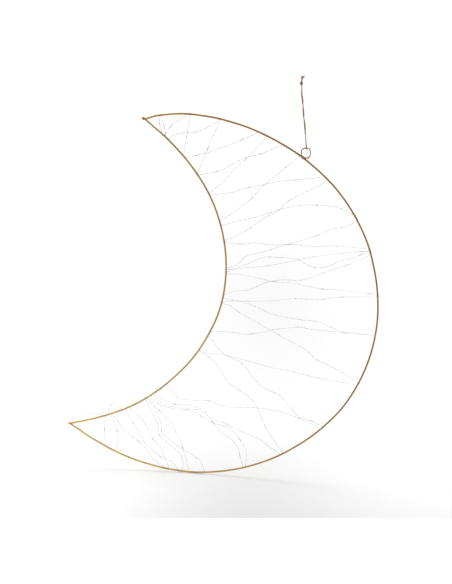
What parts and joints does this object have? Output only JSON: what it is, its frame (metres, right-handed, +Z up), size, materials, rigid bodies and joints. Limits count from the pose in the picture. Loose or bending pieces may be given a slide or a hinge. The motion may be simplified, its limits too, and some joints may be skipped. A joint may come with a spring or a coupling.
{
  "type": "hanging led moon",
  "caption": "Crescent moon frame of two round rods, wound with a fine wire LED string, with a ring and a twine loop to hang it by.",
  "frame": {"origin": "centre of the hanging ring's eye", "axes": "the moon's plane is XZ, +Z is up as it hangs in the picture, -Y is the front, and the horns point towards -X"},
  "size_m": [0.3356, 0.0052, 0.4446],
  "materials": {
    "gold_rod": "satin gold lacquer on steel rod",
    "ring_wire": "satin",
    "weld_bead": "satin gold lacquer over a weld bead",
    "string_wire": "bright lacquered wire",
    "jute_twine": "rough natural fibre"
  },
  "bodies": {
    "moon": {"outer_arc": "gold_rod", "inner_arc": "gold_rod", "upper_tip_weld": "weld_bead", "lower_tip_weld": "weld_bead", "hanging_ring": "ring_wire", "ring_weld": "weld_bead", "led_string": "string_wire"},
    "twine_round_ring": {"twine_turn": "jute_twine"},
    "twine_loop": {"twine_leg_left": "jute_twine", "twine_leg_right": "jute_twine", "twine_knot": "jute_twine", "twine_end_left": "jute_twine", "twine_end_right": "jute_twine"}
  },
  "joints": [
    {"name": "twine_slide", "type": "hinge", "parent": "moon", "child": "twine_round_ring", "pos_m": [0, 0, 0], "axis": [0, 1, 0], "range_deg": [-53, 135]},
    {"name": "twine_tilt", "type": "hinge", "parent": "twine_round_ring", "child": "twine_loop", "pos_m": [-0.001, 0, 0.01146], "axis": [0.9962, 0, 0.0872], "range_deg": [-90, 90]}
  ]
}
